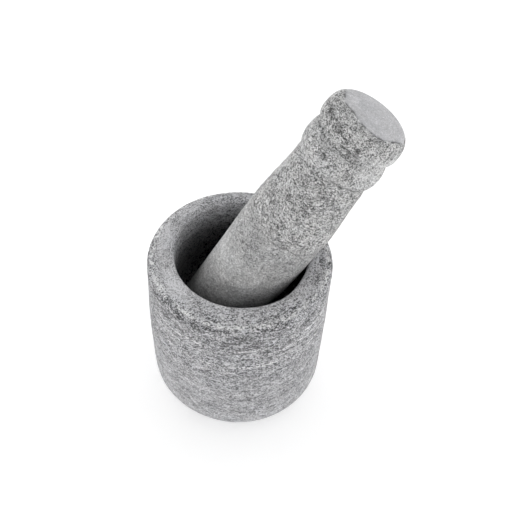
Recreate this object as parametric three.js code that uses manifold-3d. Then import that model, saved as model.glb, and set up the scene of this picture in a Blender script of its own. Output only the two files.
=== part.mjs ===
// Stone mortar and pestle: a turned stone cup, and a heavy pestle leaning in it.
// Millimetres, +Z up. The origin is the centre of the mortar's flat base.
// +X is the side that the pestle leans towards, and +Y is the far side of the cup.

import * as THREE from 'three';
import { mergeVertices } from 'three/addons/utils/BufferGeometryUtils.js';
import Module from 'manifold-3d';

// Mortar, outside
const MORTAR_RADIUS = 50;
const MORTAR_HEIGHT = 98;
const FOOT_RADIUS = 48.7;
const FOOT_ROUNDING = 12.5;
const RIM_ROUNDING = 4;

// Bowl: its axis stands a little off the mortar's own, as hand-cut bowls do
const BOWL_CENTRE_X = 1;
const BOWL_CENTRE_Y = 4.6;
const BOWL_RADIUS = 37;
const BOWL_DEPTH = 63;
const BOWL_FLOOR_HEIGHT = 28.5;
const BOWL_WALL_TAPER = 0.8;
const LIP_ROUNDING = 4;
const LIP_SWEEP = THREE.MathUtils.degToRad(70);
const CUT_ABOVE_RIM = 2;

// Pestle: lengths are measured along its axis from the grinding tip
const TIP_RADIUS = 22;
const TIP_LENGTH = 16.5;
const BELLY_RADIUS = 22.9;
const BELLY_AT = 90;
const NECK_RADIUS = 20.4;
const NECK_AT = 129;
const BEAD_RADIUS = 22.5;
const BEAD_AT = 139.5;
const BEAD_CORNER_AT = 145.1;
const GROOVE_RADIUS = 20.3;
const GROOVE_AT = 148.8;
const KNOB_CORNER_AT = 150.2;
const KNOB_RADIUS = 22.7;
const KNOB_AT = 154.5;
const FACE_CORNER_AT = 163.9;
const FACE_RADIUS = 17.3;
const FACE_AT = 164.9;
const PESTLE_LENGTH = 166;

// How long a curve holds the radius of a ring that it leaves or reaches, as a share of its run
const SOON = 1 / 3;
const LATE = 1 / 2;

// Resting place: the shaft lies on the rim's inner lip and the tip stands in the bowl,
// with 0.3 mm left at both places
const LEAN = THREE.MathUtils.degToRad(31.7);
const HEADING = THREE.MathUtils.degToRad(20);
const AXIS_AT_RIM_X = 12.75;
const AXIS_AT_RIM_Y = 5.25;
const TIP_BELOW_RIM = 65;

// Roundness
const MORTAR_SEGMENTS = 72;
const PESTLE_SEGMENTS = 48;
const QUARTER_STEPS = 4;
const CURVE_STEPS = 8;
const WELD_DISTANCE = 1e-4;

const wasm = await Module();
wasm.setup();

// Turns an outline (radius, height) about +Z into a closed, welded solid of revolution.
function turned(outline, steps, segments) {
  const lathe = new THREE.LatheGeometry(outline.getPoints(steps), segments);
  lathe.rotateX(Math.PI / 2);
  lathe.deleteAttribute('normal');
  lathe.deleteAttribute('uv');
  return withoutSlivers(mergeVertices(lathe, WELD_DISTANCE));
}

// Drops the triangles that a lathe folds to nothing on its axis.
function withoutSlivers(geometry) {
  const index = geometry.getIndex().array;
  const kept = [];
  for (let i = 0; i < index.length; i += 3) {
    const [a, b, c] = [index[i], index[i + 1], index[i + 2]];
    if (a !== b && b !== c && c !== a) {
      kept.push(a, b, c);
    }
  }
  geometry.setIndex(kept);
  return geometry;
}

function toSolid(geometry) {
  const vertProperties = new Float32Array(geometry.getAttribute('position').array);
  const triVerts = new Uint32Array(geometry.getIndex().array);
  return new wasm.Manifold(new wasm.Mesh({ numProp: 3, vertProperties, triVerts }));
}

function toGeometry(solid) {
  const { vertProperties, triVerts } = solid.getMesh();
  const geometry = new THREE.BufferGeometry();
  geometry.setAttribute('position', new THREE.BufferAttribute(vertProperties, 3));
  geometry.setIndex(new THREE.BufferAttribute(triVerts, 1));
  return geometry;
}

// Outside of the mortar: flat base, wide rounded foot, nearly upright wall, eased rim.
function mortarOutline() {
  const outline = new THREE.Path();
  outline.moveTo(0, 0);
  outline.lineTo(FOOT_RADIUS - FOOT_ROUNDING, 0);
  outline.absarc(FOOT_RADIUS - FOOT_ROUNDING, FOOT_ROUNDING, FOOT_ROUNDING, -Math.PI / 2, 0);
  outline.lineTo(MORTAR_RADIUS, MORTAR_HEIGHT - RIM_ROUNDING);
  outline.absarc(MORTAR_RADIUS - RIM_ROUNDING, MORTAR_HEIGHT - RIM_ROUNDING, RIM_ROUNDING, 0, Math.PI / 2);
  outline.lineTo(0, MORTAR_HEIGHT);
  return outline;
}

// The bowl's space: round floor, slightly tapered wall, and a lip that flares to the rim.
// The flare stops short of level, so that it crosses the rim's plane cleanly.
function bowlOutline() {
  const floorRadius = BOWL_RADIUS - BOWL_WALL_TAPER;
  const floorTop = MORTAR_HEIGHT - BOWL_DEPTH + BOWL_FLOOR_HEIGHT;
  const lipRadius = BOWL_RADIUS + LIP_ROUNDING;
  const lipHeight = MORTAR_HEIGHT - LIP_ROUNDING;
  const flare = new THREE.Vector2(Math.sin(LIP_SWEEP), Math.cos(LIP_SWEEP));
  const flareEnd = new THREE.Vector2(
    lipRadius - LIP_ROUNDING * Math.cos(LIP_SWEEP),
    lipHeight + LIP_ROUNDING * Math.sin(LIP_SWEEP),
  );
  const top = MORTAR_HEIGHT + CUT_ABOVE_RIM;
  const run = (top - flareEnd.y) / flare.y;
  const outline = new THREE.Path();
  outline.moveTo(0, floorTop - BOWL_FLOOR_HEIGHT);
  outline.absellipse(0, floorTop, floorRadius, BOWL_FLOOR_HEIGHT, -Math.PI / 2, 0);
  outline.lineTo(BOWL_RADIUS, lipHeight);
  outline.absarc(lipRadius, lipHeight, LIP_ROUNDING, Math.PI, Math.PI - LIP_SWEEP, true);
  outline.lineTo(flareEnd.x + flare.x * run, top);
  outline.lineTo(0, top);
  return outline;
}

// Carries an outline on to a ring further along the axis. The curve leaves one ring and
// meets the next running along the axis.
function swellTo(outline, radius, at, leave, arrive) {
  const start = outline.currentPoint.clone();
  const run = at - start.y;
  outline.bezierCurveTo(start.x, start.y + run * leave, radius, at - run * arrive, radius, at);
}

// The pestle from its round grinding end up: a shaft with a slight belly, a neck,
// a bead, a sharp groove, and a knob whose end is a nearly flat polished face.
function pestleOutline() {
  const outline = new THREE.Path();
  outline.moveTo(0, 0);
  outline.absellipse(0, TIP_LENGTH, TIP_RADIUS, TIP_LENGTH, -Math.PI / 2, 0);
  swellTo(outline, BELLY_RADIUS, BELLY_AT, LATE, SOON);
  swellTo(outline, NECK_RADIUS, NECK_AT, SOON, SOON);
  swellTo(outline, BEAD_RADIUS, BEAD_AT, SOON, LATE);
  outline.quadraticCurveTo(BEAD_RADIUS, BEAD_CORNER_AT, GROOVE_RADIUS, GROOVE_AT);
  outline.quadraticCurveTo(KNOB_RADIUS, KNOB_CORNER_AT, KNOB_RADIUS, KNOB_AT);
  outline.quadraticCurveTo(KNOB_RADIUS, FACE_CORNER_AT, FACE_RADIUS, FACE_AT);
  outline.quadraticCurveTo(FACE_RADIUS / 2, PESTLE_LENGTH, 0, PESTLE_LENGTH);
  return outline;
}

function mortar() {
  const body = toSolid(turned(mortarOutline(), QUARTER_STEPS, MORTAR_SEGMENTS));
  const bowlGeometry = turned(bowlOutline(), CURVE_STEPS, MORTAR_SEGMENTS);
  bowlGeometry.translate(BOWL_CENTRE_X, BOWL_CENTRE_Y, 0);
  const stone = new THREE.MeshStandardMaterial({ color: 0x9d9d9d, roughness: 0.9, metalness: 0 });
  const mesh = new THREE.Mesh(toGeometry(body.subtract(toSolid(bowlGeometry))), stone);
  mesh.name = 'mortar';
  return mesh;
}

function pestle() {
  const stone = new THREE.MeshStandardMaterial({ color: 0xa3a3a2, roughness: 0.85, metalness: 0 });
  const mesh = new THREE.Mesh(turned(pestleOutline(), CURVE_STEPS, PESTLE_SEGMENTS), stone);
  mesh.name = 'pestle';
  mesh.position.z = -TIP_BELOW_RIM;
  return mesh;
}

// The pestle leans about the point where its axis crosses the rim's plane.
function leaningPestle() {
  const leaning = new THREE.Group();
  leaning.add(pestle());
  leaning.rotation.set(0, LEAN, HEADING, 'ZYX');
  leaning.position.set(AXIS_AT_RIM_X, AXIS_AT_RIM_Y, MORTAR_HEIGHT);
  return leaning;
}

const set = new THREE.Group();
set.add(mortar());
set.add(leaningPestle());

export default set;
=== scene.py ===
"""A turned stone mortar with a heavy stone pestle leaning in it. Metres, +Z up."""

import math

import bpy
import numpy as np
from mathutils import Matrix, Vector, noise


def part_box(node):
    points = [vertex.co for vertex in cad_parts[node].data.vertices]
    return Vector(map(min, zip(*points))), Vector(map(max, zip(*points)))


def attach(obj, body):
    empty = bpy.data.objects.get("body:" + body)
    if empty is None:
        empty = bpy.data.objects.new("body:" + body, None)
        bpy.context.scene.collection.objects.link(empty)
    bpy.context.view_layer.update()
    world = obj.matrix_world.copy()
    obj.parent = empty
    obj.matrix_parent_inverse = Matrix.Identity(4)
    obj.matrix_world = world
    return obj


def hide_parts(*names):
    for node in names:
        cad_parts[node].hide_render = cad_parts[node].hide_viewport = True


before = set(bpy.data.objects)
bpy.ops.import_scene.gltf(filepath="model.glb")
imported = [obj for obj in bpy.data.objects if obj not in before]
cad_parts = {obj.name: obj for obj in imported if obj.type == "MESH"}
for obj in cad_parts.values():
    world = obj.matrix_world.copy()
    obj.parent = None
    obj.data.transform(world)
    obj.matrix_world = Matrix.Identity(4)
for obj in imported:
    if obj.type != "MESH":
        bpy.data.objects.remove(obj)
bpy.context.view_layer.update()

MM = 0.001

# Mortar. Its radius and height are the CAD piece's; the rest follows its outline.
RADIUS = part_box("mortar")[1].x
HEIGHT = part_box("mortar")[1].z
FOOT_RADIUS = 48.7 * MM
FOOT_ROUNDING = 12.5 * MM
RIM_FLAT_RADIUS = 47.7 * MM
RIM_DROP = 4.6 * MM
RIM_BULGE = (1 * MM, 0.6 * MM)
BOWL_CENTRE = (1.0 * MM, 4.6 * MM)
BOWL_RADIUS = 37 * MM
BOWL_WALL_TAPER = 0.8 * MM
BOWL_DEPTH = 63 * MM
BOWL_FLOOR_HEIGHT = 28.5 * MM
LIP_ROUNDING = 4 * MM
RIM_WIDTH = RIM_FLAT_RADIUS - BOWL_RADIUS - LIP_ROUNDING

# Pestle: distances along its axis from the grinding tip, and the radius at each.
TIP_RADIUS, TIP_LENGTH = 22 * MM, 16.5 * MM
BELLY_RADIUS, BELLY_AT = 22.9 * MM, 90 * MM
NECK_RADIUS, NECK_AT = 20.4 * MM, 129 * MM
BEAD_RADIUS, BEAD_AT = 22.5 * MM, 139.5 * MM
GROOVE_RADIUS, GROOVE_AT = 20.3 * MM, 148.8 * MM
KNOB_RADIUS, KNOB_AT = 22.7 * MM, 154.5 * MM
FACE_RADIUS, FACE_AT = 17.3 * MM, 164.9 * MM
BEAD_CORNER_AT = 145.1 * MM
KNOB_CORNER_AT = 150.2 * MM
FACE_CORNER_AT = 163.9 * MM
PESTLE_LENGTH = 166 * MM

# Mesh fineness
MORTAR_AROUND = 360
PESTLE_AROUND = 256
RING_STEP = 1.0 * MM
BASE_STEP = 4 * MM
UPPER_WALL_STEP = 0.5 * MM
UPPER_WALL = 42 * MM
SHOULDER_STEP = 0.35 * MM
LIP_STEP = 0.6 * MM
ROUND_END_STEP = 1.4 * MM
PESTLE_STEP = 0.62 * MM
FACE_EDGE_STEP = 0.4 * MM
TOLERANCE = 1e-7

# How long a curve holds the radius of a ring that it leaves or reaches, as a share of its run
SOON = 1 / 3
LATE = 1 / 2

# Light: its strength low down and overhead, and the share of it that is left in the direction
# that the camera looks from. It starts to fade towards there at the given cosine.
HORIZON_LIGHT = 2.00
OVERHEAD_LIGHT = 0.68
SHARE_AT_CAMERA = 0.45
FADE_FROM = 0.3
BLACK_LEVEL = 0.006

# Floor
FLOOR_HALF_WIDTH = 3.0
FLOOR_WHITE = 0.9
FLOOR_GLOW = 0.35

# Camera: it looks down at the rim
LENS = 70.3
LOOK_AT = Vector((8.6 * MM, 1.2 * MM, HEIGHT))
LOOK_FROM_DISTANCE = 0.538
LOOK_DOWN = math.radians(50.0)
LOOK_FROM = Vector((0, -math.cos(LOOK_DOWN), math.sin(LOOK_DOWN)))
CAMERA_ROLL = math.radians(2.99)


# ---------------------------------------------------------------- outlines

def line(start, end, step):
    """Points on a straight line, no further apart than the step."""
    count = max(1, math.ceil(math.dist(start, end) / step))
    share = np.linspace(0, 1, count + 1)[:, None]
    return np.array(start) * (1 - share) + np.array(end) * share


def arc(centre, radii, start, end, step):
    """Points on a part of an ellipse."""
    count = max(2, math.ceil(max(radii) * abs(end - start) / step))
    angle = np.linspace(start, end, count + 1)
    return np.column_stack((centre[0] + radii[0] * np.cos(angle), centre[1] + radii[1] * np.sin(angle)))


def curve(points, step):
    """A Bezier curve of any degree."""
    points = [np.array(p) for p in points]
    count = max(2, math.ceil(math.dist(points[0], points[-1]) / step))
    share = np.linspace(0, 1, count + 1)[:, None]
    while len(points) > 1:
        points = [a * (1 - share) + b * share for a, b in zip(points, points[1:])]
    return points[0]


def swell(start, end, leave, arrive, step):
    """A curve between two rings that leaves and arrives along the axis."""
    run = end[1] - start[1]
    return curve([start, (start[0], start[1] + run * leave), (end[0], end[1] - run * arrive), end], step)


def joined(stretches):
    """One outline from stretches that share their end points."""
    return np.vstack([stretches[0]] + [s[1:] for s in stretches[1:]])


def mortar_outline():
    """Radius and height from the centre of the base, up the outside and down into the bowl."""
    foot_centre = (FOOT_RADIUS - FOOT_ROUNDING, FOOT_ROUNDING)
    foot_top = (FOOT_RADIUS, FOOT_ROUNDING)
    shoulder = (RADIUS, HEIGHT - RIM_DROP)
    middle = (RADIUS, HEIGHT - UPPER_WALL)
    bulge = (RADIUS - RIM_BULGE[0], HEIGHT - RIM_BULGE[1])
    arris = (RIM_FLAT_RADIUS, HEIGHT)
    lip_radius = BOWL_RADIUS + LIP_ROUNDING
    lip_height = HEIGHT - LIP_ROUNDING
    floor_radius = BOWL_RADIUS - BOWL_WALL_TAPER
    floor_top = HEIGHT - BOWL_DEPTH + BOWL_FLOOR_HEIGHT
    return joined([
        line((RING_STEP, 0), (foot_centre[0], 0), BASE_STEP),
        arc(foot_centre, (FOOT_ROUNDING, FOOT_ROUNDING), -math.pi / 2, 0, RING_STEP),
        line(foot_top, middle, RING_STEP),
        line(middle, shoulder, UPPER_WALL_STEP),
        curve([shoulder, (RADIUS, HEIGHT - RIM_DROP / 2), bulge, arris], SHOULDER_STEP),
        line(arris, (lip_radius, HEIGHT), RING_STEP),
        arc((lip_radius, lip_height), (LIP_ROUNDING, LIP_ROUNDING), math.pi / 2, math.pi, LIP_STEP),
        line((BOWL_RADIUS, lip_height), (floor_radius, floor_top), RING_STEP),
        arc((0, floor_top), (floor_radius, BOWL_FLOOR_HEIGHT), 0, -math.pi / 2, ROUND_END_STEP)[:-1],
    ])


def pestle_outline():
    """Radius and distance along the axis, from the grinding tip to the middle of the knob's face."""
    tip = (TIP_RADIUS, TIP_LENGTH)
    belly = (BELLY_RADIUS, BELLY_AT)
    neck = (NECK_RADIUS, NECK_AT)
    bead = (BEAD_RADIUS, BEAD_AT)
    groove = (GROOVE_RADIUS, GROOVE_AT)
    knob = (KNOB_RADIUS, KNOB_AT)
    face = (FACE_RADIUS, FACE_AT)
    return joined([
        arc((0, TIP_LENGTH), (TIP_RADIUS, TIP_LENGTH), -math.pi / 2, 0, ROUND_END_STEP)[1:],
        swell(tip, belly, LATE, SOON, PESTLE_STEP),
        swell(belly, neck, SOON, SOON, PESTLE_STEP),
        swell(neck, bead, SOON, LATE, PESTLE_STEP),
        curve([bead, (BEAD_RADIUS, BEAD_CORNER_AT), groove], PESTLE_STEP),
        curve([groove, (KNOB_RADIUS, KNOB_CORNER_AT), knob], PESTLE_STEP),
        curve([knob, (KNOB_RADIUS, FACE_CORNER_AT), face], FACE_EDGE_STEP),
        curve([face, (FACE_RADIUS / 2, PESTLE_LENGTH), (0, PESTLE_LENGTH)], PESTLE_STEP)[:-1],
    ])


# ---------------------------------------------------------------- turned meshes

# How far one seed's unevenness lies from the next one's, in cells
SEED_SHIFT = (7.3, 3.1, 5.7)


class Turned:
    """A turned surface as a grid of points: one row for each ring, one column for each step around.
    The height follows the surface when it is displaced. from_edge is how far each point lies beyond
    one of the rings, along the outline. Each pattern is a sum of layers of lumps."""

    def __init__(self, outline, centres, around, edge_ring, patterns):
        along = np.concatenate(([0], np.cumsum(np.linalg.norm(np.diff(outline, axis=0), axis=1))))
        slope = np.gradient(outline, along, axis=0)
        slope /= np.linalg.norm(slope, axis=1)[:, None]
        self.angle = np.arange(around) * (2 * math.pi / around)
        self.points = self.spun(outline[:, 0], outline[:, 1]) + centres[:, None, :]
        self.height = self.points[:, :, 2]
        self.normals = self.spun(slope[:, 1], -slope[:, 0])
        along_grid = np.repeat(along[:, None], around, axis=1)
        self.from_edge = along_grid - along[edge_ring]
        self.flat_points = np.dstack((self.points[:, :, :2], along_grid))
        self.patterns = {name: self.layered(layers) for name, layers in patterns.items()}

    def spun(self, radius, height):
        """A radius and a height for each ring, as vectors all the way round."""
        x = radius[:, None] * np.cos(self.angle)
        y = radius[:, None] * np.sin(self.angle)
        z = np.repeat(height[:, None], len(self.angle), axis=1)
        return np.dstack((x, y, z))

    def lumps(self, size, seed, stretch=1.0):
        """Smooth unevenness from about -1 to 1 with features of the given size. A stretch over 1
        makes them longer around than along the outline."""
        shift = Vector([seed * cells for cells in SEED_SHIFT])
        cells = self.flat_points.reshape(-1, 3) * np.array((1, 1, stretch)) / size
        values = [noise.noise(Vector(c) + shift) for c in cells]
        return np.array(values).reshape(self.height.shape)

    def layered(self, layers):
        """A sum of lumps. A layer is a strength, a size in mm, a seed and a stretch."""
        return sum(strength * self.lumps(size * MM, seed, stretch)
                   for strength, size, seed, stretch in layers)

    def displace(self, depth):
        """Moves the surface outwards by a depth for each point."""
        self.points += self.normals * depth[:, :, None]

    def mesh(self, name, place, masks):
        """A closed mesh in the row frame, with the turned coordinates and the masks as attributes."""
        rings, around = self.height.shape
        ends = np.array((self.points[0].mean(axis=0), self.points[-1].mean(axis=0)))
        ends_flat = np.array((self.flat_points[0].mean(axis=0), self.flat_points[-1].mean(axis=0)))
        points = np.vstack((self.points.reshape(-1, 3), ends))
        step = np.arange(around)
        after = (step + 1) % around
        faces = []
        for ring in range(rings - 1):
            low, high = ring * around, (ring + 1) * around
            faces.extend(np.column_stack((low + step, low + after, high + after, high + step)).tolist())
        first, last = rings * around, rings * around + 1
        top = (rings - 1) * around
        faces.extend([first, int(b), int(a)] for a, b in zip(step, after))
        faces.extend([last, top + int(a), top + int(b)] for a, b in zip(step, after))
        data = bpy.data.meshes.new(name)
        data.from_pydata([place @ Vector(p) for p in points], [], faces)
        data.attributes.new("turned", "FLOAT_VECTOR", "POINT").data.foreach_set(
            "vector", np.vstack((self.flat_points.reshape(-1, 3), ends_flat)).astype(np.float32).ravel())
        for label, values in masks.items():
            both_ends = (values[0].mean(), values[-1].mean())
            data.attributes.new(label, "FLOAT", "POINT").data.foreach_set(
                "value", np.append(values.ravel(), both_ends).astype(np.float32))
        data.polygons.foreach_set("use_smooth", [True] * len(data.polygons))
        data.update()
        piece = bpy.data.objects.new(name, data)
        bpy.context.scene.collection.objects.link(piece)
        return piece


def bump(values, centre, width):
    """1 at the centre, falling off to 0 on both sides."""
    return np.exp(-((values - centre) / width) ** 2)


def ease(values, start, end):
    """A smooth rise from 0 at the start to 1 at the end."""
    share = np.clip((values - start) / (end - start), 0, 1)
    return share * share * (3 - 2 * share)


def side(angle, centre, width):
    """From 0 to 1, highest on one side of a turned piece. The centre and the width are in degrees."""
    return bump((np.degrees(angle) - centre + 180) % 360 - 180, 0, width)


def weighed(weights, places):
    """The sum of the places' masks, each multiplied by its weight."""
    return sum(weight * places[name] for name, weight in weights.items())


# ---------------------------------------------------------------- mortar

# Patterns on the mortar: layers of strength, size in mm, seed and stretch. The strengths of
# uneven, pits and line_wander are in mm, and the others' are shares.
MORTAR_PATTERNS = {
    "uneven": ((0.16, 42, 1, 1), (0.12, 13, 2, 1)),
    "pits": ((0.10, 3.2, 3, 1.6), (0.07, 1.7, 4, 1.5)),
    "chips": ((1, 5, 5, 1), (1, 1.8, 6, 1)),
    "patches": ((1, 17, 7, 1.8), (0.6, 6, 8, 2.5)),
    "bands": ((1, 34, 19, 9),),
    "spots": ((1, 4, 21, 1),),
    "crumbs": ((1, 3.5, 9, 1), (0.8, 1.5, 10, 1)),
    "dark_crumbs": ((1, 4, 17, 1), (0.5, 1.6, 18, 1)),
    "dark_places": ((1, 6, 199, 1),),
    "line_wander": ((1.2, 26, 11, 0), (0.3, 4, 16, 0)),
    "line_breaks": ((0.7, 2.2, 20, 1),),
}

# Lines that the turning tool left round the wall: height, strength, and the seed of their gaps
TOOL_LINES = ((81 * MM, 1.0, 70), (66 * MM, 1.0, 70), (75.5 * MM, 0.7, 75), (38 * MM, 0.4, 33))
TOOL_LINE_WIDTH = 0.5 * MM
TOOL_LINE_HEIGHT = 0.12 * MM
TOOL_LINE_PALENESS = 0.7
GAP_SIZE, GAP_STRETCH = 11 * MM, 0.5
GAP_LEVELS = (-0.1, 0.2)

# Sides of the mortar, direction and width in degrees round from +X: where the rim is palest and
# least marked, where the wall is most worn, where the edge has crumbled most, and where the
# pestle leans
CLEAN_SIDE = (190, 60)
WORN_SIDE = (265, 65)
CRUMBLED_SIDE = (280, 28)
LEANING_SIDE = (350, 30)

# Where hand work left the wall fuller: height and reach, direction and width in degrees, and by
# how much
FULLER_PLACES = (
    (14 * MM, 30 * MM, 300, 60, 0.7 * MM),
    (45 * MM, 25 * MM, 195, 25, 0.5 * MM),
    (96 * MM, 10 * MM, 8, 25, 0.4 * MM),
)
FULLER_LIP = (HEIGHT - 3 * MM, 5 * MM, 340, 22, 1.1 * MM)

# Heights from which and up to which the relief fades in above the flat base, the painted light on
# the foot ends, the grain coarsens up the wall, and the worn side shows
RELIEF_FROM = (0, 4 * MM)
FLOOR_LIT_FOOT_ENDS = (10 * MM, 25 * MM)
COARSER_FROM = (30 * MM, 74 * MM)
WORN_FROM = (45 * MM, 88 * MM)

# Bands along the arris, the edge between wall and rim: distance inwards from it, and reach. The
# wall fades out just below it.
WALL_ENDS = (-1 * MM, 0)
CHIPPED_BAND = (0, 0.9 * MM)
# Where the arris is paler: partly chipped stone, partly a painted highlight along the edge
CHIP_AND_HIGHLIGHT_BAND = (0.2 * MM, 1.1 * MM)
ROUGH_BAND = (0.5 * MM, 2.6 * MM)
DARK_BAND_BELOW = (-1.7 * MM, 0.8 * MM)
DARK_BAND_INSIDE = (2.6 * MM, 1.4 * MM)
BLOTCHED_BAND = (-6 * MM, 6 * MM)
CHIP_DEPTH = 0.7 * MM
CHIP_SHARE = 0.1
# How pale the arris gets, from chips and from a painted highlight
EDGE_CHIPS_AND_HIGHLIGHT = 0.85

# Levels of a pattern from which it starts to show, and from which it shows in full
SPOT_LEVELS = (0.35, 0.6)
BLOTCH_LEVELS = (0, 0.5)
CRUMB_LEVELS = (-0.2, 0.15)
DARK_CRUMB_LEVELS = (-0.1, 0.4)
DARK_PLACE_LEVELS = (0.1, 0.3)

# How far the painted light on the rim by the pestle goes over the lip, and how the painted shade in the
# bowl deepens with depth
PAINTED_LIGHT_LIP_ENDS = (2 * MM, 8 * MM)
# Painted shade: the bowl's colour darkens with depth below the rim, standing in for the shade in the
# hollow
PAINTED_BOWL_SHADE = 0.72
PAINTED_BOWL_SHADE_FROM = (4 * MM, 22 * MM)

# What each place adds to the contrast between the mortar's grains, and to their paleness
MORTAR_CONTRAST = {
    "everywhere": 1.25,
    "upper": 1.10,
    "upper_patches": 0.25,
    "rim": 1.1,
    "clean_rim": -1.2,
    "leaning_rim": 2.2,
    "rough_edge": 1.2,
    "crumbled_edge": 1.3,
    "bowl": 0.5,
}
MORTAR_PALENESS = {
    # Painted light: the foot paler, as if lit from the floor
    "floor_lit_foot": 0.12,
    "bowl": 0.14,
    "rim": 0.14,
    "clean_rim": 0.10,
    # Painted light on the rim and the lip beside the pestle
    "painted_light_lip": 0.30,
    "leaning_dark_places": -0.55,
    "rim_patches": -0.30,
    "upper": -0.04,
    "upper_patches": -0.12,
    "upper_bands": -0.10,
    "wall_bands": -0.05,
    "wall_spots": -0.18,
    "worn_wall": -0.08,
    "blotches": -0.26,
    "dark_crumbs": -0.55,
}


def tool_lines(stone):
    """Thin broken ridges round the wall, from 0 to 1."""
    total = np.zeros_like(stone.height)
    wander = MM * stone.patterns["line_wander"]
    for level, strength, seed in TOOL_LINES:
        gaps = stone.lumps(GAP_SIZE, seed, GAP_STRETCH) + stone.patterns["line_breaks"]
        total += strength * ease(gaps, *GAP_LEVELS) * bump(stone.height, level + wander, TOOL_LINE_WIDTH)
    return total


def fuller(stone, place):
    """How far the stone stands out at one of the fuller places."""
    level, reach, centre, width, size = place
    return size * side(stone.angle, centre, width) * bump(stone.height, level, reach)


def mortar_relief(stone, wall, bowl, lines):
    """How far the skin stands out from the smooth outline."""
    chips = np.clip(stone.patterns["chips"] + CHIP_SHARE, 0, 1) * bump(stone.from_edge, *CHIPPED_BAND)
    relief = MM * (stone.patterns["uneven"] + stone.patterns["pits"])
    relief += TOOL_LINE_HEIGHT * lines - CHIP_DEPTH * chips
    relief += sum(fuller(stone, place) for place in FULLER_PLACES) * wall
    relief += fuller(stone, FULLER_LIP) * bowl
    return relief * ease(stone.height, *RELIEF_FROM)


def mortar_places(stone, wall, bowl, upper):
    """The places on the mortar that differ in their grain, each from 0 to 1, some times a pattern."""
    rim = (1 - wall) * (1 - bowl)
    lip = (1 - wall) * (1 - ease(stone.from_edge - RIM_WIDTH, *PAINTED_LIGHT_LIP_ENDS))
    clean_side = side(stone.angle, *CLEAN_SIDE)
    crumbled_side = side(stone.angle, *CRUMBLED_SIDE)
    leaning_side = side(stone.angle, *LEANING_SIDE)
    worn_side = side(stone.angle, *WORN_SIDE) * ease(stone.height, *WORN_FROM)
    rough_edge = bump(stone.from_edge, *ROUGH_BAND)
    dark_bands = bump(stone.from_edge, *DARK_BAND_BELOW)
    dark_bands += bump(stone.from_edge, *DARK_BAND_INSIDE) * crumbled_side
    dark_crumbs = ease(stone.patterns["dark_crumbs"], *DARK_CRUMB_LEVELS) * (1 - clean_side)
    dark_places = ease(stone.patterns["dark_places"], *DARK_PLACE_LEVELS)
    patches = stone.patterns["patches"]
    bands = stone.patterns["bands"] * wall
    return {
        "everywhere": 1,
        "floor_lit_foot": 1 - ease(stone.height, *FLOOR_LIT_FOOT_ENDS),
        "bowl": bowl,
        "rim": rim,
        "clean_rim": rim * clean_side,
        "leaning_rim": rim * leaning_side,
        "painted_light_lip": lip * leaning_side,
        "leaning_dark_places": dark_places * rim * leaning_side,
        "rim_patches": rim * patches,
        "upper": upper,
        "upper_patches": upper * patches,
        "upper_bands": upper * bands,
        "wall_bands": bands,
        "wall_spots": ease(stone.patterns["spots"], *SPOT_LEVELS) * wall,
        "worn_wall": worn_side * wall,
        "blotches": ease(patches, *BLOTCH_LEVELS) * bump(stone.from_edge, *BLOTCHED_BAND),
        "dark_crumbs": dark_crumbs * dark_bands,
        "rough_edge": rough_edge,
        "crumbled_edge": rough_edge * crumbled_side,
    }


def mortar_masks(stone, wall, bowl, upper, lines):
    """What the material reads at each point of the mortar."""
    places = mortar_places(stone, wall, bowl, upper)
    # Paler chips along the arris, with a painted highlight along the edge
    chipped_and_highlit_edge = ease(stone.patterns["crumbs"], *CRUMB_LEVELS) * bump(stone.from_edge, *CHIP_AND_HIGHLIGHT_BAND)
    return {
        "contrast": weighed(MORTAR_CONTRAST, places),
        "paleness": weighed(MORTAR_PALENESS, places),
        "pale_marks_and_highlight": np.clip(TOOL_LINE_PALENESS * lines + EDGE_CHIPS_AND_HIGHLIGHT * chipped_and_highlit_edge, 0, 1),
        # Painted shade: darker the deeper the bowl lies below the rim
        "painted_shade_and_dark_border": PAINTED_BOWL_SHADE * ease(HEIGHT - stone.height, *PAINTED_BOWL_SHADE_FROM) * bowl,
        "polish": np.zeros_like(stone.height),
    }


def make_mortar():
    outline = mortar_outline()
    arris = np.argmax(outline[:, 1] > HEIGHT - TOLERANCE)
    inward = np.clip((RIM_FLAT_RADIUS - outline[:, 0]) / RIM_WIDTH, 0, 1)
    inward[:arris] = 0
    centres = inward[:, None] * np.array((*BOWL_CENTRE, 0))
    stone = Turned(outline, centres, MORTAR_AROUND, arris, MORTAR_PATTERNS)
    wall = 1 - ease(stone.from_edge, *WALL_ENDS)
    bowl = ease(stone.from_edge, RIM_WIDTH, RIM_WIDTH + LIP_ROUNDING)
    upper = ease(stone.height, *COARSER_FROM) * wall
    lines = tool_lines(stone) * wall
    stone.displace(mortar_relief(stone, wall, bowl, lines))
    masks = mortar_masks(stone, wall, bowl, upper, lines)
    piece = stone.mesh("mortar_stone", Matrix.Identity(4), masks)
    granite = stone_material("turned_granite", drawn_out=1.3, streakiness=0.6, coolness=0.03)
    piece.data.materials.append(granite)
    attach(piece, "mortar")
    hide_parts("mortar")


# ---------------------------------------------------------------- pestle

# Distances are along the axis from the grinding tip. Directions are in degrees, round from the
# level line at right angles to the lean.

# Patterns on the pestle: layers of strength, size in mm, seed and stretch. The strengths of the
# gaps and the patches are shares, and the others' are in mm.
PESTLE_PATTERNS = {
    "uneven": ((0.18, 30, 3, 1),),
    "ripples": ((0.12, 9, 4, 1),),
    "pits": ((0.15, 3.0, 5, 1), (0.09, 1.5, 6, 1)),
    "grip_edge": ((7, 16, 1, 1), (4, 5, 2, 1)),
    "border_wander": ((0.8, 4, 7, 1),),
    "border_gaps": ((1, 5, 12, 1), (0.5, 2, 13, 1)),
    "dark_mark_gaps": ((1, 3, 14, 1),),
    "patches": ((1, 14, 8, 1.3), (0.6, 5, 9, 1)),
    # How far the edge of the painted shade on the pestle wanders, in mm
    "tip_shade_wander": ((4, 12, 15, 1),),
}

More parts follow.
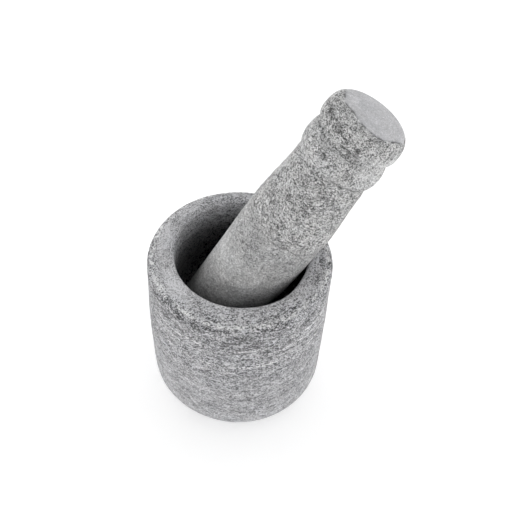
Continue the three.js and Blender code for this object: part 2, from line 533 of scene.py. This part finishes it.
# Where the coarse grip gives way to the finer grinding end, and what is left of the pits' depth
# on the grinding end and on the face
GRIP_FROM = 84 * MM
GRIP_BLEND = 12 * MM
PITS_ON_GRINDING_END = 0.15
PITS_ON_FACE = 0.1

# Where hand work left the grip and the face's edge fuller: side, where it starts and ends or its
# place and reach, and by how much
FULLER_GRIP_SIDE = (215, 90)
FULLER_GRIP_FROM = (GRIP_FROM, GRIP_FROM + GRIP_BLEND)
FULLER_GRIP_ENDS = (126 * MM, 132 * MM)
FULLER_GRIP = 0.6 * MM
FULLER_FACE_SIDE = (300, 60)
FULLER_FACE_AT = (162 * MM, 5 * MM)
FULLER_FACE = 0.6 * MM

# Creases below the bead and in the groove: distance, reach and depth
CREASES = ((131.5 * MM, 1.8 * MM, 0.49 * MM), (GROOVE_AT, 1.5 * MM, 0.7 * MM))

# The ragged border of the polished face, a dark line. On the side that faces up it follows the face's
# edge, with bays given by direction, width and depth, and is a real mark. On the far side it lies
# further down the knob, and its dark line there is painted shade along the knob's edge.
BORDER_SIDE = (120, 90)
BORDER_SIDE_LEVELS = (0.25, 0.5)
BORDER_SPREAD = 3 * MM
BORDER_BAYS = ((104, 22, 2.2 * MM), (168, 36, -1.6 * MM))
BORDER_BLEND = (-0.3 * MM, 0.4 * MM)
BORDER_WIDTH = 0.55 * MM
BORDER_DEPTH = 0.35 * MM
BORDER_LINE_AND_SHADE = 0.85
BORDER_GAP_LEVELS = (-0.35, 0.15)

# Dark smudges on the knob, the bead and the grip, and painted shade in the crease below the bead and in
# the groove: distance and reach, direction and width
SMUDGES_AND_CREASE_SHADE = (
    (156.4 * MM, 1.8 * MM, 113, 9),
    (154.8 * MM, 1.4 * MM, 142, 14),
    (152 * MM, 1.2 * MM, 130, 26),
    (158.5 * MM, 1.5 * MM, 80, 22),
    (142 * MM, 1.2 * MM, 118, 14),
    (138.4 * MM, 2.0 * MM, 138, 13),
    # Painted shade in the crease below the bead
    (132.5 * MM, 1.0 * MM, 170, 34),
    # Painted shade in the groove
    (149.2 * MM, 0.8 * MM, 185, 30),
    (112 * MM, 4 * MM, 150, 10),
)
DARK_MARK_GAP_LEVELS = (-0.5, 0.2)

# Painted light on one side by the groove, and a dull side below the grip, given like the smudges
PAINTED_LIGHT_SIDE = (150 * MM, 9 * MM, 205, 32)
DULL_SIDE = (80 * MM, 9 * MM, 127, 35)

# Where the worn grinding end, paler from wear and from painted light, turns into the shaft, and how the
# painted shade on the pestle deepens below the rim
WORN_AND_LIT_END = (58 * MM, 73 * MM)
PAINTED_TIP_SHADE = 0.70
PAINTED_TIP_SHADE_FROM = (1 * MM, 25 * MM)

# What each place adds to the contrast between the pestle's grains, and to their paleness
PESTLE_CONTRAST = {
    "everywhere": 1.1,
    "grip": 0.75,
    "face": -0.5,
    "worn_and_lit_end": -0.2,
}
PESTLE_PALENESS = {
    "everywhere": 0.02,
    "face": 0.09,
    # Paler partly from wear and partly as painted light
    "worn_and_lit_end": 0.16,
    # Painted light: one side of the knob and the bead paler
    "painted_light_side": 0.40,
    "dull_side": -0.10,
    "patches": -0.08,
    "grip_patches": -0.07,
    "smudges_and_crease_shade": -0.62,
}


def pestle_place():
    """The CAD pestle's resting place: its axis is the long axis of its solid, and its tip the low end.
    The local X axis is level and the local Y axis points up out of the lean."""
    points = np.array([v.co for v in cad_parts["pestle"].data.vertices])
    middle = points.mean(axis=0)
    axis = np.linalg.svd(points - middle, full_matrices=False)[2][0]
    axis *= math.copysign(1, axis[2])
    tip = middle + axis * ((points - middle) @ axis).min()
    level = np.cross((0, 0, 1), axis)
    level /= np.linalg.norm(level)
    turn = Matrix(np.column_stack((level, np.cross(axis, level), axis)).tolist())
    return Matrix.Translation(tip) @ turn.to_4x4()


def pestle_spot(stone, place):
    """From 0 to 1, highest at one place on the pestle."""
    at, reach, centre, width = place
    return bump(stone.height, at, reach) * side(stone.angle, centre, width)


def distance_from_border(stone):
    """How far inside the ragged border of the polished face each point lies."""
    far_side = 1 - ease(side(stone.angle, *BORDER_SIDE), *BORDER_SIDE_LEVELS)
    bays = sum(depth * side(stone.angle, centre, width) for centre, width, depth in BORDER_BAYS)
    return stone.from_edge - bays + MM * stone.patterns["border_wander"] + BORDER_SPREAD * far_side


def pestle_relief(stone, grip, face, border):
    """How far the skin stands out from the smooth outline."""
    pits = stone.patterns["pits"] * (PITS_ON_GRINDING_END + (1 - PITS_ON_GRINDING_END) * grip)
    pits *= 1 - (1 - PITS_ON_FACE) * face
    relief = MM * (stone.patterns["uneven"] + stone.patterns["ripples"] * (1 - face) + pits)
    relief -= BORDER_DEPTH * border
    relief -= sum(depth * bump(stone.height, at, reach) for at, reach, depth in CREASES)
    fuller_grip = ease(stone.height, *FULLER_GRIP_FROM) * (1 - ease(stone.height, *FULLER_GRIP_ENDS))
    relief += FULLER_GRIP * side(stone.angle, *FULLER_GRIP_SIDE) * fuller_grip
    relief += FULLER_FACE * side(stone.angle, *FULLER_FACE_SIDE) * bump(stone.height, *FULLER_FACE_AT)
    return relief


def pestle_masks(stone, grip, face, border, below_rim):
    """What the material reads at each point of the pestle."""
    smudges_and_crease_shade = sum(pestle_spot(stone, place) for place in SMUDGES_AND_CREASE_SHADE)
    places = {
        "everywhere": 1,
        "grip": grip,
        "face": face,
        "worn_and_lit_end": 1 - ease(stone.height, *WORN_AND_LIT_END),
        "painted_light_side": pestle_spot(stone, PAINTED_LIGHT_SIDE),
        "dull_side": pestle_spot(stone, DULL_SIDE),
        "patches": stone.patterns["patches"],
        "grip_patches": grip * stone.patterns["patches"],
        "smudges_and_crease_shade": smudges_and_crease_shade * ease(stone.patterns["dark_mark_gaps"], *DARK_MARK_GAP_LEVELS),
    }
    # The face's dark border line, in gaps: a real mark where it faces up, painted shade on the far side
    dark_border_and_shade = BORDER_LINE_AND_SHADE * border * ease(stone.patterns["border_gaps"], *BORDER_GAP_LEVELS)
    # Painted shade: the pestle darkens the deeper it lies below the rim, with a ragged edge
    painted_tip_shade = PAINTED_TIP_SHADE * ease(below_rim + MM * stone.patterns["tip_shade_wander"], *PAINTED_TIP_SHADE_FROM)
    return {
        "contrast": weighed(PESTLE_CONTRAST, places),
        "paleness": weighed(PESTLE_PALENESS, places),
        "pale_marks_and_highlight": np.zeros_like(stone.height),
        "painted_shade_and_dark_border": np.clip(dark_border_and_shade + painted_tip_shade, 0, 1),
        "polish": face,
    }


def make_pestle():
    outline = pestle_outline()
    face_edge = np.argmin(np.hypot(outline[:, 0] - FACE_RADIUS, outline[:, 1] - FACE_AT))
    stone = Turned(outline, np.zeros((len(outline), 3)), PESTLE_AROUND, face_edge, PESTLE_PATTERNS)
    place = pestle_place()
    below_rim = HEIGHT - (stone.points @ np.array(place)[2, :3] + place[2][3])
    from_border = distance_from_border(stone)
    border = bump(from_border, 0, BORDER_WIDTH)
    face = ease(from_border, *BORDER_BLEND)
    ragged_height = stone.height + MM * stone.patterns["grip_edge"]
    grip = ease(ragged_height, GRIP_FROM, GRIP_FROM + GRIP_BLEND) * (1 - face)
    stone.displace(pestle_relief(stone, grip, face, border))
    piece = stone.mesh("pestle_stone", place, pestle_masks(stone, grip, face, border, below_rim))
    granite = stone_material("speckled_granite", drawn_out=1.2, streakiness=0.0, coolness=0.0)
    piece.data.materials.append(granite)
    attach(piece, "pestle")
    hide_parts("pestle")


# ---------------------------------------------------------------- materials

# Place in the mottle against grey, from the dark minerals to the pale ones
MINERALS = ((0.0, 0.06), (0.22, 0.15), (0.38, 0.29), (0.60, 0.40), (0.82, 0.50), (1.0, 0.72))
MOTTLE_MIDDLE = 0.55
# The grey of the pale tool lines and chips, and of the painted highlight on the arris
PALE_MARK_GREY = 0.90
# The grey of the painted shade in the bowl and on the pestle's tip, and of the dark border line round
# the face
SHADE_AND_BORDER_GREY = 0.02
POLISH_TINT = (0.965, 0.965, 1.0)

# Slight tints, and the level of a soft cloud at which each is reached
TINTS = ((0.35, (0.99, 0.995, 1.0)), (0.65, (1.0, 0.995, 0.99)))

# How strongly the pale marks and the painted highlight on the arris show on a coarse grain: the grain's
# random number times the first, plus the second
PALE_MARK_CONTRAST, PALE_MARK_LEAST = 2.2, -0.3

# Sizes of the grains, the dust between them, the patches and the streaks, and each one's share
FINE_GRAIN, FINE_SHARE = 0.45 * MM, 0.62
COARSE_GRAIN, COARSE_SHARE = 0.85 * MM, 0.40
DUST, DUST_SHARE = 0.5 * MM, 0.5
PATCH, PATCH_SHARE = 7 * MM, 0.55
STREAK, STREAK_STRETCH = 9 * MM, 9
TINT_PATCH = 12 * MM

# The grain's relief, and the surface's roughness: its least, what the dust adds and polish takes
GRAIN_RELIEF = 0.2 * MM
MOTTLE_IN_RELIEF = 0.25
ROUGHNESS = 0.6
DUST_ROUGHNESS = 0.2
POLISH_SMOOTHNESS = 0.2


class Shader:
    """Adds shader nodes to a new material. A socket given as an input is linked, and anything else
    is set as a value."""

    def __init__(self, name):
        self.material = bpy.data.materials.new(name)
        self.material.use_nodes = True
        self.tree = self.material.node_tree
        self.tree.nodes.clear()

    def add(self, kind, inputs, **settings):
        """Adds one node of a kind, with its inputs and its settings."""
        node = self.tree.nodes.new("ShaderNode" + kind)
        for label, value in settings.items():
            setattr(node, label, value)
        for label, value in inputs.items():
            if isinstance(value, bpy.types.NodeSocket):
                self.tree.links.new(value, node.inputs[label])
            else:
                node.inputs[label].default_value = value
        return node

    def mask(self, label):
        """One of the mesh's masks, by its name."""
        return self.add("Attribute", {}, attribute_name=label).outputs["Fac"]

    def stretched(self, place, scale):
        return self.add("VectorMath", {0: place, 1: scale}, operation="MULTIPLY").outputs[0]

    def grains(self, place, size):
        """One random number from 0 to 1 for each grain of about the given size."""
        node = self.add("TexVoronoi", {"Vector": place, "Scale": 1 / size})
        return self.add("SeparateColor", {"Color": node.outputs["Color"]}).outputs[0]

    def cloud(self, place, size, detail=2.0, roughness=0.5):
        """Soft noise from 0 to 1, with features of about the given size."""
        inputs = {"Vector": place, "Scale": 1 / size, "Detail": detail, "Roughness": roughness}
        return self.add("TexNoise", inputs).outputs["Fac"]

    def math(self, operation, first, second, third=0.0):
        return self.add("Math", {0: first, 1: second, 2: third}, operation=operation).outputs[0]

    def mixture(self, shares):
        """The sum of textures, each measured from its own middle and multiplied by its share."""
        total = 0.0
        for texture, share in shares:
            total = self.math("MULTIPLY_ADD", self.math("SUBTRACT", texture, 0.5), share, total)
        return total

    def ramp(self, value, stops):
        node = self.add("ValToRGB", {"Fac": value})
        elements = node.color_ramp.elements
        while len(elements) < len(stops):
            elements.new(1.0)
        for element, (place, colour) in zip(elements, stops):
            element.position = place
            element.color = (*colour, 1)
        return node.outputs["Color"]

    def blend(self, first, second, share, blend_type="MIX"):
        """Two colours mixed or multiplied."""
        node = self.add("Mix", {0: share}, data_type="RGBA", blend_type=blend_type)
        self.tree.links.new(first, node.inputs[6])
        if isinstance(second, bpy.types.NodeSocket):
            self.tree.links.new(second, node.inputs[7])
        else:
            node.inputs[7].default_value = (*second, 1)
        return node.outputs[2]


def stone_material(name, drawn_out, streakiness, coolness):
    """Granite. drawn_out is how far the turning has smeared its grains round the piece, streakiness
    the share of long streaks round it, and coolness how much red and green it lacks."""
    shader = Shader(name)
    place = shader.add("Attribute", {}, attribute_name="turned").outputs["Vector"]
    drawn = shader.stretched(place, (1, 1, drawn_out))
    fine_grain = shader.grains(drawn, FINE_GRAIN)
    coarse_grain = shader.grains(drawn, COARSE_GRAIN)
    far_drawn = shader.stretched(place, (1, 1, drawn_out ** 2))
    streaked = shader.stretched(place, (1, 1, STREAK_STRETCH))
    dust = shader.cloud(drawn, DUST, detail=2, roughness=0.6)
    patches = shader.cloud(far_drawn, PATCH, detail=3, roughness=0.6)
    streaks = shader.cloud(streaked, STREAK, detail=4, roughness=0.65)
    mixture = shader.mixture((
        (fine_grain, FINE_SHARE), (coarse_grain, COARSE_SHARE), (dust, DUST_SHARE),
        (patches, PATCH_SHARE), (streaks, streakiness)))
    mottle = shader.math("MULTIPLY_ADD", mixture, shader.mask("contrast"), shader.mask("paleness"))
    mottle = shader.math("ADD", mottle, MOTTLE_MIDDLE)
    colour = shader.ramp(mottle, [(spot, (grey,) * 3) for spot, grey in MINERALS])
    tints = [(spot, (red - coolness, green - coolness, blue)) for spot, (red, green, blue) in TINTS]
    tint = shader.ramp(shader.cloud(place, TINT_PATCH), tints)
    colour = shader.blend(colour, tint, 1.0, "MULTIPLY")
    colour = shader.blend(colour, POLISH_TINT, shader.mask("polish"), "MULTIPLY")
    # Pale tool lines and chips, and the painted highlight on the arris
    broken = shader.math("MULTIPLY_ADD", coarse_grain, PALE_MARK_CONTRAST, PALE_MARK_LEAST)
    pale_marks_and_highlight = shader.math("MULTIPLY", shader.mask("pale_marks_and_highlight"), broken)
    colour = shader.blend(colour, (PALE_MARK_GREY,) * 3, pale_marks_and_highlight)
    # Painted shade, and the face's dark border line
    colour = shader.blend(colour, (SHADE_AND_BORDER_GREY,) * 3, shader.mask("painted_shade_and_dark_border"))
    relief = shader.math("MULTIPLY_ADD", mottle, MOTTLE_IN_RELIEF, dust)
    bumped = shader.add("Bump", {"Height": relief, "Distance": GRAIN_RELIEF, "Strength": 1.0})
    dusty = shader.math("MULTIPLY_ADD", dust, DUST_ROUGHNESS, ROUGHNESS)
    roughness = shader.math("MULTIPLY_ADD", shader.mask("polish"), -POLISH_SMOOTHNESS, dusty)
    surface = shader.add("BsdfPrincipled", {
        "Base Color": colour,
        "Roughness": roughness,
        "Specular IOR Level": 0.5,
        "Normal": bumped.outputs["Normal"],
    })
    shader.add("OutputMaterial", {"Surface": surface.outputs["BSDF"]})
    return shader.material


# ---------------------------------------------------------------- stage

def make_floor():
    data = bpy.data.meshes.new("floor")
    signs = ((-1, -1), (1, -1), (1, 1), (-1, 1))
    corners = [(x * FLOOR_HALF_WIDTH, y * FLOOR_HALF_WIDTH, 0) for x, y in signs]
    data.from_pydata(corners, [], [(0, 1, 2, 3)])
    floor = bpy.data.objects.new("floor", data)
    bpy.context.scene.collection.objects.link(floor)
    shader = Shader("white_floor")
    surface = shader.add("BsdfPrincipled", {
        "Base Color": (FLOOR_WHITE, FLOOR_WHITE, FLOOR_WHITE, 1),
        "Roughness": 1.0,
        "Specular IOR Level": 0.0,
        "Emission Color": (1, 1, 1, 1),
        "Emission Strength": FLOOR_GLOW,
    })
    shader.add("OutputMaterial", {"Surface": surface.outputs["BSDF"]})
    data.materials.append(shader.material)


def make_light():
    """A white studio all round: brightest near the horizon, and dimmest round the camera."""
    world = bpy.data.worlds.new("studio")
    world.use_nodes = True
    nodes, links = world.node_tree.nodes, world.node_tree.links
    direction = nodes.new("ShaderNodeTexCoord").outputs["Generated"]
    strength = nodes.new("ShaderNodeMath")
    strength.operation = "MULTIPLY"
    fades = (
        ((0, 0, 1), 0.0, HORIZON_LIGHT, OVERHEAD_LIGHT),
        (LOOK_FROM, FADE_FROM, 1.0, SHARE_AT_CAMERA),
    )
    for number, (towards, start, first, last) in enumerate(fades):
        facing = nodes.new("ShaderNodeVectorMath")
        facing.operation = "DOT_PRODUCT"
        facing.inputs[1].default_value = towards
        links.new(direction, facing.inputs[0])
        fade = nodes.new("ShaderNodeMapRange")
        fade.inputs["From Min"].default_value = start
        fade.inputs["To Min"].default_value = first
        fade.inputs["To Max"].default_value = last
        links.new(facing.outputs["Value"], fade.inputs["Value"])
        links.new(fade.outputs["Result"], strength.inputs[number])
    links.new(strength.outputs[0], nodes["Background"].inputs["Strength"])
    nodes["Background"].inputs["Color"].default_value = (1, 1, 1, 1)
    bpy.context.scene.world = world
    view = bpy.context.scene.view_settings
    view.view_transform = "Standard"
    view.use_curve_mapping = True
    view.curve_mapping.black_level = (BLACK_LEVEL,) * 3


def make_camera():
    """A camera that looks at the rim from the photograph's side."""
    data = bpy.data.cameras.new("camera")
    data.lens = LENS
    camera = bpy.data.objects.new("camera", data)
    bpy.context.scene.collection.objects.link(camera)
    tilt = Matrix.Rotation(math.pi / 2 - LOOK_DOWN, 4, "X") @ Matrix.Rotation(CAMERA_ROLL, 4, "Z")
    camera.matrix_world = Matrix.Translation(LOOK_AT + LOOK_FROM * LOOK_FROM_DISTANCE) @ tilt
    bpy.context.scene.camera = camera


make_camera()
make_light()
make_floor()
make_mortar()
make_pestle()
